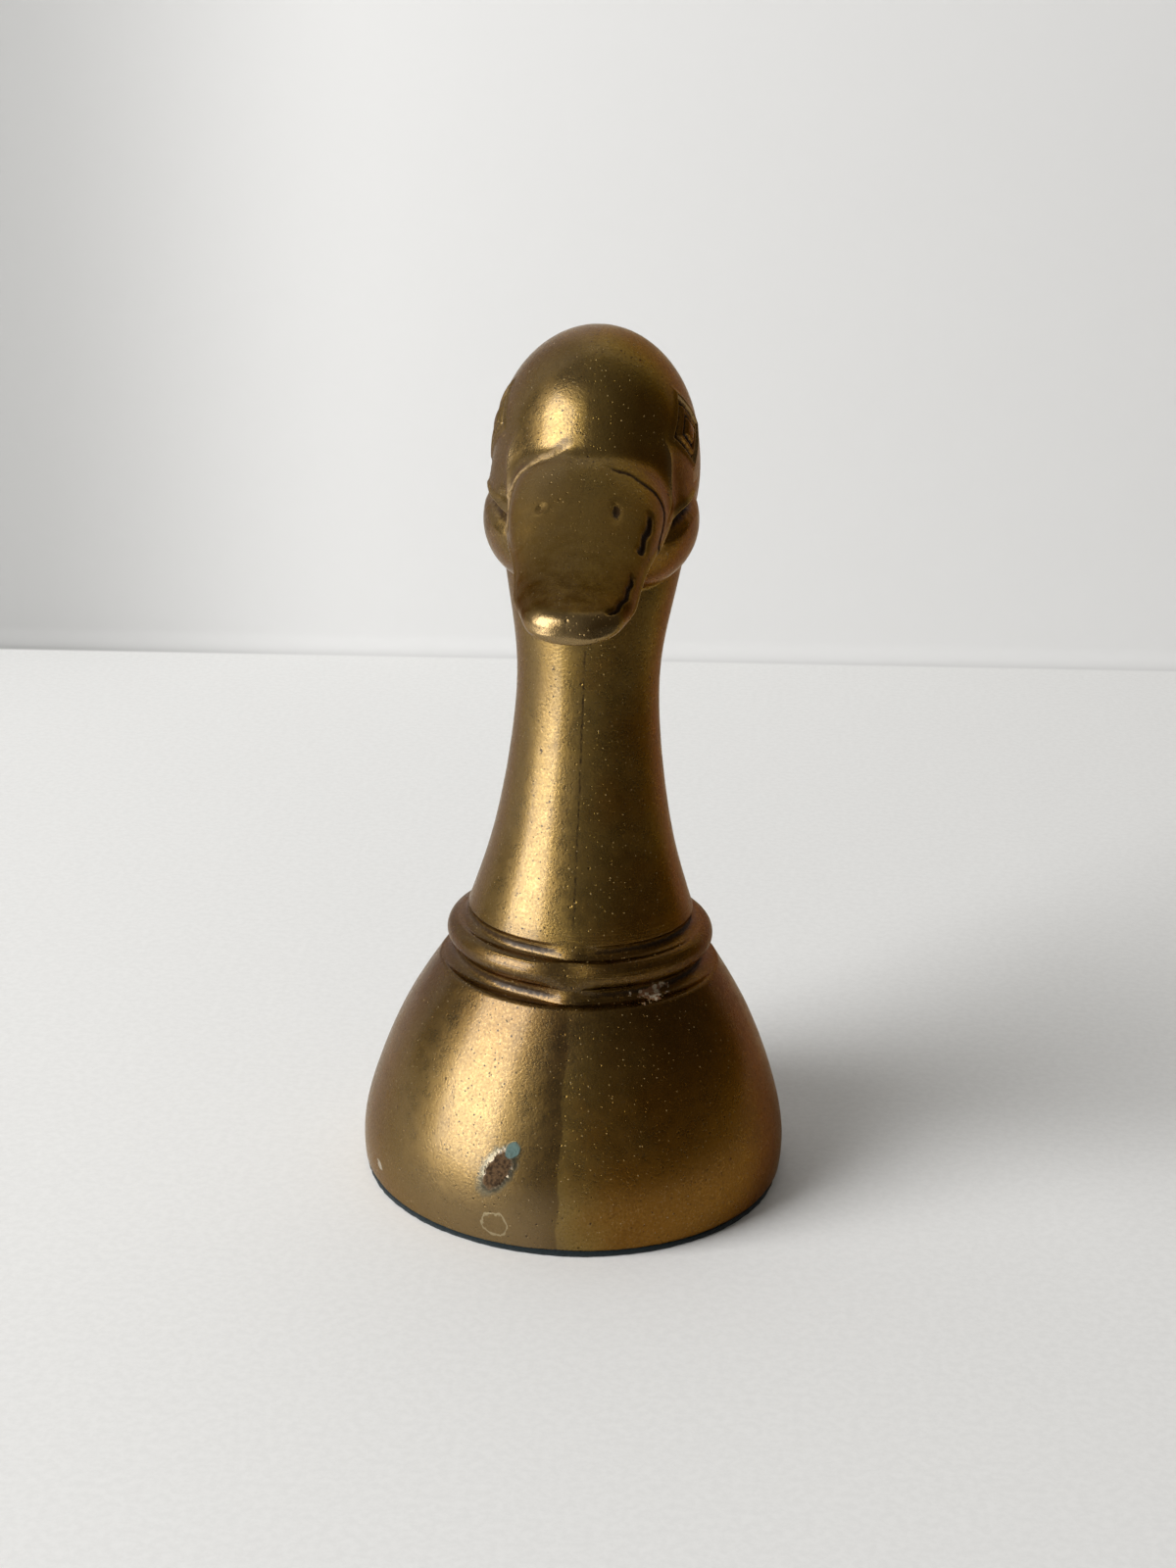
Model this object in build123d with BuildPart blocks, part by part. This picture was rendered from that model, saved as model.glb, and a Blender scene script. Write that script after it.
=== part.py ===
"""Cast brass duck head on a round bust, hollow, in two half shells brazed along the middle.

Millimetres, +Z up. The origin is the centre of the felt underside and the bill points along -Y.
"""

import os

from build123d import *

# Base: felt pad, backing disc and the rim that they sit in
FELT_THICKNESS = 1.2
FELT_INSET = 0.9
RIM_RADIUS = 42.4
WALL = 4.0
DISC_THICKNESS = 2.0
DISC_SEAT = 1.8
DISC_CLEARANCE = 0.2

# Bust outline: bulge and belly are measured from the rim, the shoulder from the top edge
BUST_HEIGHT = 44.4
BUST_BULGE_OUT = 0.4
BUST_BULGE_RISE = 4.5
BUST_BELLY_IN = 2.4
BUST_BELLY_RISE = 19.0
BUST_SHOULDER_OUT = 6.0
BUST_SHOULDER_DROP = 9.9
BUST_TOP_PROUD = 1.0

# Collar: a half-round bead between two grooves
BEAD_RADIUS = 26.5
BEAD_HEIGHT = 5.2
BEAD_EDGE_DROP = 1.6
GROOVE_WIDTH = 2.7
GROOVE_DEPTH = 0.4
NECK_LIP_STEP = 4.1

# Neck: radius and backward shift of evenly spaced round sections, above the collar to the skull's centre.
# The last two sections are narrower than the skull by an inset
NECK_HEIGHT = 90.1
NECK_RADII = (18.4, 15.8, 14.2, 14.05, 16.2)
NECK_SETBACKS = (0.0, 0.0, 0.1, 0.9, 3.3, 5.8, 6.4)
NECK_TOP_INSET = 1.1

# Head: drops and rises are measured from the skull's centre, and forward from the neck's axis
SKULL_SETBACK = 1.5
SKULL_HALF_WIDTH = 19.5
SKULL_RADIUS = 24.3
CHEEK_SPREAD = 7.7
CHEEK_FORWARD = 6.0
CHEEK_DROP = 10.3
CHEEK_HALF_LENGTH = 18.0
CHEEK_RADIUS = 12.5

# Bill: forward distance, drop, half width and half thickness of each section
BILL_SECTIONS = (
    (12.0, 5.6, 16.5, 13.0),
    (26.0, 6.1, 15.0, 10.5),
    (34.0, 8.3, 13.8, 8.0),
    (44.0, 11.7, 12.0, 5.8),
    (54.0, 14.3, 10.4, 4.2),
    (60.0, 15.4, 9.1, 3.4),
    (63.5, 15.9, 7.3, 2.6),
    (65.5, 16.2, 4.6, 1.6),
)
BILL_TIP_ROUND = 0.9

# Eyes: a raised diamond in a diamond-shaped groove on each side of the skull
EYE_FORWARD = 6.5
EYE_RISE = 7.4
EYE_HALF_LENGTH = 5.4
EYE_HALF_HEIGHT = 6.0
EYE_GROOVE_WIDTH = 1.2
EYE_GROOVE_DEPTH = 0.8

# Nostrils: oblong pits on top of the bill
NOSTRIL_SPREAD = 6.6
NOSTRIL_FORWARD = 33.5
NOSTRIL_DROP = 1.9
NOSTRIL_HALF_LENGTH = 2.2
NOSTRIL_RADIUS = 0.9

# Brazing along the inside of the seam
BRAZE_WIDTH = 5.0
BRAZE_THICKNESS = 1.2

HALF_TURN = 180

# Derived heights and radii
rim_height = FELT_THICKNESS
disc_top = rim_height + DISC_THICKNESS
seat_radius = RIM_RADIUS - WALL + DISC_SEAT
bust_top = rim_height + BUST_HEIGHT
bust_top_radius = BEAD_RADIUS + BUST_TOP_PROUD
bead_base = bust_top + GROOVE_WIDTH
bead_top = bead_base + BEAD_HEIGHT
bead_edge_radius = BEAD_RADIUS - BEAD_EDGE_DROP
collar_top = bead_top + GROOVE_WIDTH
neck_lip_radius = BEAD_RADIUS - NECK_LIP_STEP
lower_groove_radius = bead_edge_radius - GROOVE_DEPTH
upper_groove_radius = neck_lip_radius - GROOVE_DEPTH
neck_top_radius = SKULL_HALF_WIDTH - NECK_TOP_INSET
neck_radii = (*NECK_RADII, neck_top_radius, neck_top_radius)
neck_step = NECK_HEIGHT / len(neck_radii)
skull_height = collar_top + NECK_HEIGHT
skull_centre = (0, SKULL_SETBACK, skull_height)
beyond = 2 * (skull_height + SKULL_RADIUS)


def spheroid(centre, direction, half_length, radius):
    """A ball stretched along one direction."""
    lengthwise = Plane(centre, x_dir=direction, z_dir=(0, 0, 1))
    with BuildPart() as ball:
        with BuildSketch(lengthwise):
            with BuildLine():
                EllipticalCenterArc((0, 0), half_length, radius, arc_size=HALF_TURN)
                Line((-half_length, 0), (half_length, 0))
            make_face()
        revolve(axis=Axis(centre, direction))
    return ball.part


def bust_outline(inset, top_radius):
    """The bust's curved side, moved in by an inset, from the rim up to a radius under the collar."""
    Spline(
        (RIM_RADIUS - inset, rim_height),
        (RIM_RADIUS + BUST_BULGE_OUT - inset, rim_height + BUST_BULGE_RISE),
        (RIM_RADIUS - BUST_BELLY_IN - inset, rim_height + BUST_BELLY_RISE),
        (bust_top_radius + BUST_SHOULDER_OUT - inset, bust_top - BUST_SHOULDER_DROP),
        (top_radius, bust_top),
    )


def neck(inset):
    """The neck, every section smaller by an inset."""
    with BuildPart() as trunk:
        with BuildSketch(Plane.XY.offset(collar_top)):
            Circle(neck_lip_radius - inset)
        for step, (radius, setback) in enumerate(zip(neck_radii, NECK_SETBACKS), start=1):
            with BuildSketch(Plane.XY.offset(collar_top + step * neck_step)):
                with Locations((0, setback)):
                    Circle(radius - inset)
        loft()
    return trunk.part


def skull(inset):
    """The round of the head, smaller by an inset."""
    return spheroid(skull_centre, (1, 0, 0), SKULL_HALF_WIDTH - inset, SKULL_RADIUS - inset)


def hollow(inset):
    """The space inside a shell of this thickness."""
    neck_space = neck(inset)
    skull_space = skull(inset)
    with BuildPart() as space:
        with BuildSketch(Plane.XZ):
            with BuildLine():
                bust_outline(inset, lower_groove_radius - inset)
                Polyline(
                    (lower_groove_radius - inset, bust_top),
                    (upper_groove_radius - inset, collar_top),
                    (0, collar_top),
                    (0, rim_height),
                    (RIM_RADIUS - inset, rim_height),
                )
            make_face()
        revolve(axis=Axis.Z)
        add(neck_space)
        add(skull_space)
    return space.part


# Bust and collar
with BuildPart() as bust:
    with BuildSketch(Plane.XZ):
        with BuildLine():
            bust_outline(0, bust_top_radius)
            ThreePointArc(
                (bust_top_radius, bust_top),
                (lower_groove_radius, bust_top + GROOVE_WIDTH / 2),
                (bead_edge_radius, bead_base),
            )
            ThreePointArc(
                (bead_edge_radius, bead_base),
                (BEAD_RADIUS, bead_base + BEAD_HEIGHT / 2),
                (bead_edge_radius, bead_top),
            )
            ThreePointArc(
                (bead_edge_radius, bead_top),
                (upper_groove_radius, bead_top + GROOVE_WIDTH / 2),
                (neck_lip_radius, collar_top),
            )
            Polyline(
                (neck_lip_radius, collar_top),
                (0, collar_top),
                (0, rim_height),
                (RIM_RADIUS, rim_height),
            )
        make_face()
    revolve(axis=Axis.Z)

# Bill
with BuildPart() as bill:
    for forward, drop, half_width, half_thickness in BILL_SECTIONS:
        with BuildSketch(Plane.XZ.offset(forward)):
            with Locations((0, skull_height - drop)):
                Ellipse(half_width, half_thickness)
    loft()
    fillet(bill.faces().sort_by(Axis.Y)[0].edges(), BILL_TIP_ROUND)

# Grooves around the eyes
eye_floor = skull(EYE_GROOVE_DEPTH)
with BuildPart() as eye_grooves:
    for side in (-1, 1):
        flank = Plane((0, -EYE_FORWARD, skull_height + EYE_RISE), x_dir=(0, 1, 0), z_dir=(side, 0, 0))
        with BuildSketch(flank):
            for inset, mode in ((0, Mode.ADD), (EYE_GROOVE_WIDTH, Mode.SUBTRACT)):
                length = EYE_HALF_LENGTH - inset
                height = EYE_HALF_HEIGHT - inset
                Polygon((-length, 0), (0, -height), (length, 0), (0, height), align=None, mode=mode)
        extrude(amount=SKULL_HALF_WIDTH)
    add(eye_floor, mode=Mode.SUBTRACT)

# The whole duck as a shell, before it is parted
shell_space = hollow(WALL)
solid_forms = [bust.part, neck(0), skull(0), bill.part]
cut_forms = [eye_grooves.part, shell_space]
for side in (-1, 1):
    cheek_centre = (side * CHEEK_SPREAD, -CHEEK_FORWARD, skull_height - CHEEK_DROP)
    solid_forms.append(spheroid(cheek_centre, (0, 1, 0), CHEEK_HALF_LENGTH, CHEEK_RADIUS))
    nostril_centre = (side * NOSTRIL_SPREAD, -NOSTRIL_FORWARD, skull_height - NOSTRIL_DROP)
    cut_forms.append(spheroid(nostril_centre, (0, 1, 0), NOSTRIL_HALF_LENGTH, NOSTRIL_RADIUS))
with BuildPart() as shell:
    for solid_form in solid_forms:
        add(solid_form)
    for cut_form in cut_forms:
        add(cut_form, mode=Mode.SUBTRACT)
    with BuildSketch(Plane.XY.offset(rim_height)):
        Circle(seat_radius)
    extrude(amount=DISC_THICKNESS, mode=Mode.SUBTRACT)

# Half shells, parted on the middle plane; left is the duck's own left
with BuildPart() as left_half_shell:
    add(shell.part)
    split(bisect_by=Plane.YZ, keep=Keep.TOP)
with BuildPart() as right_half_shell:
    mirror(left_half_shell.part, about=Plane.YZ)

# Brazing: a band inside the hollow, over the seam, from the backing disc round the crown and back
braze_core = hollow(WALL + BRAZE_THICKNESS)
with BuildPart() as seam_braze:
    with Locations((0, 0, disc_top)):
        Box(BRAZE_WIDTH, beyond, beyond, align=(Align.CENTER, Align.CENTER, Align.MIN))
    add(shell_space, mode=Mode.INTERSECT)
    add(braze_core, mode=Mode.SUBTRACT)

# Backing disc in the rim's seat
with BuildPart() as backing_disc:
    with BuildSketch(Plane.XY.offset(rim_height)):
        Circle(seat_radius - DISC_CLEARANCE)
    extrude(amount=DISC_THICKNESS)

# Felt pad under the rim and the disc
with BuildPart() as felt_pad:
    with BuildSketch(Plane.XY):
        Circle(RIM_RADIUS - FELT_INSET)
    extrude(amount=FELT_THICKNESS)

left_half_shell.part.label = "left_half_shell"
right_half_shell.part.label = "right_half_shell"
seam_braze.part.label = "seam_braze"
backing_disc.part.label = "backing_disc"
felt_pad.part.label = "felt_pad"

os.makedirs("parts", exist_ok=True)
for piece in (left_half_shell, right_half_shell, seam_braze, backing_disc, felt_pad):
    export_step(piece.part, f"parts/{piece.part.label}.step")
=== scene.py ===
"""Looks of the cast brass duck: two half shells with their cast detail, their wear and some painted light and
shade, and the felt underneath.

Lengths in the form's own functions are millimetres, in the CAD frame: +Z up, the bill along -Y.
Each half is shaped on the side of +X, and the duck's right half is mirrored. In the functions s is the
distance from the middle, d the distance forward, and side 1 for the duck's left half and -1 for its right.
"""

import math
from functools import reduce

import bmesh
import bpy
import numpy as np
import openvdb
from mathutils import Matrix, Vector


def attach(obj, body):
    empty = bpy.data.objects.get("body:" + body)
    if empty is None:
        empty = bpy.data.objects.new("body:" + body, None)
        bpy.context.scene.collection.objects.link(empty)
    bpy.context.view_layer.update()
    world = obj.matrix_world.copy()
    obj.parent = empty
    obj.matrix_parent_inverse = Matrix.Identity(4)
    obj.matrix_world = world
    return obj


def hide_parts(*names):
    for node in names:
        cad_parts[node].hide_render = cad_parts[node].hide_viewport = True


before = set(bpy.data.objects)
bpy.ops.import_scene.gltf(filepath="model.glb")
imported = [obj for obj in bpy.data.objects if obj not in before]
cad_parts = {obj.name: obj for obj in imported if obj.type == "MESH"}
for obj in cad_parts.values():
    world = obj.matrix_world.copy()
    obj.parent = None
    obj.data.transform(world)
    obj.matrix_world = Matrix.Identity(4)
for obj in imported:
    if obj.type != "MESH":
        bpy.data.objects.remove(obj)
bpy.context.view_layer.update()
MM = 0.001

# Base, as in the CAD
FELT_THICKNESS = 1.2
FELT_RADIUS = 41.5
FELT_SPREAD = 0.6
RIM_ROUND = 0.5
WALL = 4.0
DISC_TOP = 3.2
SEAT_RADIUS = 40.2

# Outline of the bust, then of the collar, then the neck: height, radius, and how far back the axis lies
BUST_HEIGHTS = (1.2, 5.7, 20.2, 35.7, 45.6)
BUST_RADII = (42.4, 42.8, 40.0, 33.5, 27.5)
GROOVE_LOW = ((45.6, 27.5), (46.95, 24.5), (48.3, 24.9))
BEAD = ((48.3, 24.9), (50.9, 26.5), (53.5, 24.9))
GROOVE_HIGH = ((53.5, 24.9), (54.85, 22.0), (56.2, 22.4))
NECK_HEIGHTS = (56.2, 69.07, 81.94, 94.81, 107.69, 120.56, 133.43, 146.3, 160.0)
NECK_RADII = (22.4, 18.4, 15.8, 14.2, 14.05, 16.2, 18.4, 18.0, 9.0)
NECK_SETBACKS = (0.0, 0.0, 0.0, 0.1, 0.9, 3.3, 5.8, 6.2, 4.0)

# Filing of the collar at the seam: how much of it, how wide, and what is left at the middle of its height
FILED_SHARE = 0.85
FILED_WIDTH = 4.5
FILED_HEIGHT = 50.9
FILED_RADIUS = 25.6

# Head
SKULL_HEIGHT = 146.3
SKULL_SETBACK = 1.5
SKULL_HALF_WIDTH = 19.5
SKULL_RADIUS = 24.3
BROW_SLOPE = math.radians(30.3)
BROW_HALF_WIDTH = 19.5
BROW_LENGTH = 14.0
BROW_FRONT = 8.0
BROW_FLARE = 0.8
BROW_FLARE_LENGTH = 12.0
BROW_END_ROUND = 3.0
JOWL_SPREAD = 7.7
JOWL_FORWARD = 6.0
JOWL_HEIGHT = 136.0
JOWL_HALF_LENGTH = 18.0
JOWL_RADIUS = 12.5
JOWL_SEAM_ROUND = 1.0

# Bill: forward distance, height, half width and half thickness of its sections
BILL_FORWARD = (0.0, 12.0, 26.0, 34.0, 44.0, 54.0, 60.0, 63.5, 68.0)
BILL_HEIGHT = (141.0, 140.7, 140.2, 138.0, 134.6, 132.0, 130.9, 130.4, 129.9)
BILL_HALF_WIDTH = (17.0, 16.5, 15.0, 13.8, 12.0, 10.9, 10.5, 10.4, 10.3)
BILL_HALF_THICKNESS = (14.0, 13.0, 10.5, 8.0, 5.8, 4.2, 3.4, 3.0, 2.6)
BILL_SQUARENESS = (2.0, 2.35)
BILL_SQUARING = (20.0, 36.0)
BILL_TIP = 65.2
BILL_TIP_START = 51.0
BILL_TIP_SQUARENESS = 2.25
BILL_TIP_SKEW = 0.25
BILL_TIP_SKEW_WIDTH = 7.0
BILL_TIP_HALF_WIDTH = 10.5
BILL_TIP_SHIFT = 1.2
BILL_TIP_ROUND = 2.8
BILL_TIP_REACH = (46.0, 58.0)
BILL_TIP_CLEAR = 5.0
BILL_LEAN = 0.12
BILL_LEAN_REACH = (22.0, 48.0)

# Where the mouth runs: forward distance and height
MOUTH_FORWARD = (-8.0, 3.0, 12.6, 18.9, 26.0, 35.0, 42.0, 50.0, 60.0, 68.0)
MOUTH_HEIGHT = (146.5, 143.4, 141.8, 139.9, 138.3, 136.9, 135.4, 132.6, 129.2, 127.4)

# How softly the forms run into each other
BLEND_BILL = 1.4
BLEND_NECK = 3.0
BLEND_JOWL = 1.0

# Mesh of the head: its volume cells and box, and where it is cut and meets the turned mesh
VOXEL = 0.31
MARGIN_CELLS = 3
NEAR_SURFACE = 2.5
HEAD_OUT = 24.0
HEAD_FRONT = -68.0
HEAD_BACK = 30.0
HEAD_TOP = 173.0
JOIN_HEIGHT = 100.0
JOIN_GAP = 0.6
ON_PLANE = 0.03

# Turned mesh: its columns and rows, even or closer around the scab: place, width and how much closer
COLUMNS = 110
ROW_STEP = 1.0
COLLAR_ROW_STEP = 0.36
COLLAR_ROWS_BEYOND = 1.0
NECK_ROWS = 42
NECK_ROW_GAP = 0.6
EVEN = (0.0, 1.0, 1.0)
SCAB_COLUMNS = (0.29, 0.12, 2.2)
SCAB_ROWS = (16.5, 6.0, 1.8)

# Mesh of the hollow: its rows and top, and how far its wall is looked for, by halving
INNER_ROWS = 40
HOLLOW_TOP = SKULL_HEIGHT + SKULL_RADIUS - WALL
HOLLOW_REACH = 60.0
HALVINGS = 40


def curve(stations, values):
    """A natural cubic spline through points, as a function."""
    x = np.array(stations, float)
    y = np.array(values, float)
    gap = np.diff(x)
    rise = np.diff(y) / gap
    system = np.eye(len(x))
    right = np.zeros(len(x))
    for i in range(1, len(x) - 1):
        system[i, i - 1:i + 2] = gap[i - 1], 2 * (gap[i - 1] + gap[i]), gap[i]
        right[i] = 6 * (rise[i] - rise[i - 1])
    bend = np.linalg.solve(system, right)

    def at(place):
        place = np.clip(place, x[0], x[-1])
        i = np.clip(np.searchsorted(x, place) - 1, 0, len(x) - 2)
        t = place - x[i]
        start = rise[i] - gap[i] * (2 * bend[i] + bend[i + 1]) / 6
        return y[i] + t * start + t ** 2 * bend[i] / 2 + t ** 3 * (bend[i + 1] - bend[i]) / (6 * gap[i])

    return at


def arc(points, heights):
    """Radius at each height of the circular arc through three (height, radius) points."""
    (z0, r0), (z1, r1), (z2, r2) = points
    left = np.array([[z1 - z0, r1 - r0], [z2 - z0, r2 - r0]])
    right = np.array([z1 ** 2 - z0 ** 2 + r1 ** 2 - r0 ** 2, z2 ** 2 - z0 ** 2 + r2 ** 2 - r0 ** 2]) / 2
    zc, rc = np.linalg.solve(left, right)
    size = math.hypot(z0 - zc, r0 - rc)
    side = 1 if r1 > rc else -1
    return rc + side * np.sqrt(np.maximum(size ** 2 - (heights - zc) ** 2, 0))


def ease(low, high, value):
    """0 below low, 1 above high, smooth between."""
    t = np.clip((value - low) / (high - low), 0, 1)
    return t * t * (3 - 2 * t)


def bump(value, width):
    """A smooth hump at 0."""
    return np.exp(-(value / width) ** 2)


def blend(a, b, width):
    """The union of two distance fields, run softly into each other."""
    share = np.clip(0.5 + 0.5 * (b - a) / width, 0, 1)
    return b + (a - b) * share - width * share * (1 - share)


def ellipsoid(x, y, z, rx, ry, rz):
    """About the distance to an ellipsoid at the origin."""
    size = np.sqrt((x / rx) ** 2 + (y / ry) ** 2 + (z / rz) ** 2)
    steep = np.sqrt((x / rx ** 2) ** 2 + (y / ry ** 2) ** 2 + (z / rz ** 2) ** 2)
    return size * (size - 1) / np.maximum(steep, 1e-6)


# The turned outline as fine tables: radius, slope and setback by height
table_z = np.arange(-4.0, NECK_HEIGHTS[-1], 0.05)
bust_radius = curve(BUST_HEIGHTS, BUST_RADII)
neck_radius = curve(NECK_HEIGHTS, NECK_RADII)
neck_setback = curve(NECK_HEIGHTS, NECK_SETBACKS)
collar_parts = (
    (BUST_HEIGHTS[-1], lambda z: arc(GROOVE_LOW, z)),
    (GROOVE_LOW[-1][0], lambda z: arc(BEAD, z)),
    (BEAD[-1][0], lambda z: arc(GROOVE_HIGH, z)),
    (GROOVE_HIGH[-1][0], neck_radius),
)
turned_radius = bust_radius(table_z)
for start, part in collar_parts:
    turned_radius = np.where(table_z >= start, part(table_z), turned_radius)
rim_share = np.clip(1 - (table_z - FELT_THICKNESS) / (2 * RIM_ROUND), 0, 1)
turned_radius = turned_radius - RIM_ROUND * rim_share ** 2
in_collar = (table_z > BUST_HEIGHTS[-1]) & (table_z < NECK_HEIGHTS[0])
filed_heights = (BUST_HEIGHTS[-1], FILED_HEIGHT, NECK_HEIGHTS[0])
filed_radii = (BUST_RADII[-1], FILED_RADIUS, NECK_RADII[0])
filed_radius = np.where(in_collar, np.interp(table_z, filed_heights, filed_radii), turned_radius)
turned_slope = np.gradient(turned_radius, table_z)
turned_setback = np.where(table_z > NECK_HEIGHTS[0], neck_setback(table_z), 0)

# The bill and the mouth as tables by forward distance
table_d = np.arange(-30.0, 70.0, 0.1)
bill_height = curve(BILL_FORWARD, BILL_HEIGHT)(table_d)
bill_half_width = curve(BILL_FORWARD, BILL_HALF_WIDTH)(table_d)
bill_half_thickness = curve(BILL_FORWARD, BILL_HALF_THICKNESS)(table_d)
mouth_height = curve(MOUTH_FORWARD, MOUTH_HEIGHT)(table_d)


def table(place, stations, values):
    """A table's values at places, kept in the places' own precision."""
    return np.interp(place, stations, values).astype(np.asarray(place).dtype)


def turned(x, y, z, inset=0.0):
    """Distance to the bust, collar and neck. The collar's grooves are filed shallow at the seam."""
    filed = FILED_SHARE * bump(x, FILED_WIDTH) * (inset == 0)
    radius = table(z, table_z, turned_radius)
    radius = radius + filed * (table(z, table_z, filed_radius) - radius)
    slope = table(z, table_z, turned_slope)
    around = np.hypot(x, y - table(z, table_z, turned_setback))
    return np.maximum((around - radius + inset) / np.sqrt(1 + slope ** 2), z - NECK_HEIGHTS[-1])


def skull(x, y, z, inset=0.0):
    """Distance to the round of the head."""
    half_width = SKULL_HALF_WIDTH - inset
    radius = SKULL_RADIUS - inset
    return ellipsoid(x, y - SKULL_SETBACK, z - SKULL_HEIGHT, half_width, radius, radius)


def brow(x, y, z):
    """Distance to the forehead, which runs straight down from the skull to the bill."""
    ahead, up = SKULL_SETBACK - y, z - SKULL_HEIGHT
    out = ahead * math.cos(BROW_SLOPE) + up * math.sin(BROW_SLOPE)
    down = ahead * math.sin(BROW_SLOPE) - up * math.cos(BROW_SLOPE)
    half_width = BROW_HALF_WIDTH + BROW_FLARE * ease(0, BROW_FLARE_LENGTH, down)
    around = ellipsoid(x, out, 0.0, half_width, SKULL_RADIUS, SKULL_RADIUS)
    rounded = -blend(-around, BROW_LENGTH - down, BROW_END_ROUND)
    return np.maximum(np.maximum(rounded, -down), BROW_FRONT - out)


def rounded_square(a, b, half_a, half_b, n):
    """About the distance to a rounded square outline."""
    a = np.abs(a) / half_a
    b = np.abs(b) / half_b
    size = np.maximum((a ** n + b ** n) ** (1 / n), 1e-3)
    steep = np.hypot(a ** (n - 1) / half_a, b ** (n - 1) / half_b) * size ** (1 - n)
    return (size - 1) / np.maximum(steep, 1e-3)


def bill_width(d, side):
    """Half width of the bill. It leans a little to the duck's left."""
    lean = BILL_LEAN * (side < 0) * ease(*BILL_LEAN_REACH, d)
    return table(d, table_d, bill_half_width) * (1 - lean)


def bill(s, d, z, side):
    """Distance to the bill: rounded-square sections, a rounded end, and a back inside the skull."""
    half_width = bill_width(d, side)
    half_thickness = table(d, table_d, bill_half_thickness)
    height = z - table(d, table_d, bill_height)
    root, front = BILL_SQUARENESS
    squareness = root + (front - root) * ease(*BILL_SQUARING, d)
    sides = rounded_square(s, height, half_width, half_thickness, squareness)
    ahead = np.maximum(d - BILL_TIP_START, 0)
    length = BILL_TIP - BILL_TIP_START
    tip_squareness = BILL_TIP_SQUARENESS - side * BILL_TIP_SKEW * ease(0, BILL_TIP_SKEW_WIDTH, s)
    end = rounded_square(s - side * BILL_TIP_SHIFT, ahead, BILL_TIP_HALF_WIDTH, length, tip_squareness)
    end = end - BILL_TIP_CLEAR * (1 - ease(*BILL_TIP_REACH, d))
    return np.maximum(-blend(-sides, -end, BILL_TIP_ROUND), -d)


def form(x, y, z, side):
    """Distance to the duck's plain outer form."""
    s = np.abs(x)
    upper = blend(np.minimum(skull(x, y, z), brow(x, y, z)), bill(s, -y, z, side), BLEND_BILL)
    upper = blend(upper, turned(x, y, z), BLEND_NECK)
    jowl = ellipsoid(
        np.sqrt(x ** 2 + JOWL_SEAM_ROUND ** 2) - JOWL_SPREAD, -y - JOWL_FORWARD, z - JOWL_HEIGHT,
        JOWL_RADIUS, JOWL_HALF_LENGTH, JOWL_RADIUS,
    )
    return blend(upper, jowl, BLEND_JOWL)


# Edge of the feathers over the bill: where it crosses the middle, how it sweeps back and falls at the side.
# A pair of values is for the duck's left and its right
FEATHER_FORWARD = 24.4
FEATHER_SKEW = 1.9
FEATHER_SWEEP = 0.03
FEATHER_CORNER = 142.0
FEATHER_FALL = 1.7
FEATHER_BEND = 2.5
FEATHER_STEPS = (0.28, 0.4)
FEATHER_CRUSTS = (0.4, 1.0)
FEATHER_DIRTS = (0.8, 0.4)
# Lime along the step's edge, on the duck's right partly a painted highlight
FEATHER_LIMES_AND_PAINTED_HIGHLIGHTS = (0.0, 0.75)
# Painted highlight at the root of the bill, only on the duck's right
BILL_ROOT_PAINTED_HIGHLIGHTS = (0.0, 0.55)

# Crest from under the eye to the corner of the bill: forward distance by fall below its top
CREST_TOP = 152.1
CREST_FORWARD = (15.4, 0.175, 0.068)
CREST_RISE = 0.55
CORNER_LIMES = (0.0, 1.0)
CORNER_LIME_HEIGHT = 142.8
CORNER_LIME_REACH = 2.4

# Mouth: a lip over a rough recess along the cheek, and further on a smaller lower half of the bill
MOUTH_RECESS = 1.3
MOUTH_ROUGHNESS = 0.12
LOWER_BILL_INSET = 0.8
LIP_RISE = 0.35

# Eye: a diamond on the side of the skull
EYE_FORWARD = 4.6
EYE_SKEW = 1.6
EYE_HEIGHT = 153.2
EYE_HALF_LENGTH = 6.2
EYE_HALF_HEIGHT = 6.3

# Nostrils: a pit each, open on the duck's left and clogged on its right
NOSTRIL_SPREADS = (6.2, 7.0)
NOSTRIL_FORWARD = 35.3
NOSTRIL_HALF_WIDTHS = (0.85, 0.6)
NOSTRIL_HALF_LENGTHS = (1.9, 0.7)
NOSTRIL_DEPTHS = (0.6, 0.25)
NOSTRIL_DIRTS = (1.0, 0.0)
NOSTRIL_RING_RISES = (0.0, 0.12)

# Grooves along the upper edges of the bill, by share of its half width, clogged between
EDGE_GROOVE_PLACE = 0.87
EDGE_GROOVE_DEPTH = 0.75
EDGE_GROOVE_SHARES = (1.0, 0.1)

# Seam: by height, how far the two halves stand out where they meet, and how soon that fades
SEAM_HEIGHTS = (0.0, 40.0, 52.0, 62.0, 105.0, 122.0, 140.0, 150.0, 160.0, 168.0)
SEAM_LIFTS = (-0.22, -0.22, 0.0, 0.22, 0.22, 0.05, 0.05, 0.18, 0.15, 0.0)
SEAM_FADE = 4.0
SEAM_DEPTH = 0.03

# Scab on the front of the bust: place across and up, half size, lean
SCAB = (-11.7, 16.3)
SCAB_HALF_SIZE = (2.3, 4.7)
SCAB_LEAN = math.radians(32)
SCAB_RISE = 0.25


def waves(x, y, z, length, phase):
    """A calm unevenness, about from -1 to 1."""
    k = 2 * math.pi / length
    a = np.sin(k * (x + 0.6 * z) + phase) + np.sin(k * (0.8 * y - 0.5 * z) + 1.7 * phase)
    b = np.sin(k * (0.7 * x + 0.9 * y) + 2.3 * phase) + np.sin(k * (1.1 * z + 0.3 * y) + 0.4 * phase)
    return (a + b) / 4


def window(value, rise, fall):
    """1 between a rise and a fall, 0 outside them."""
    return ease(*rise, value) * (1 - ease(*fall, value))


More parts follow.
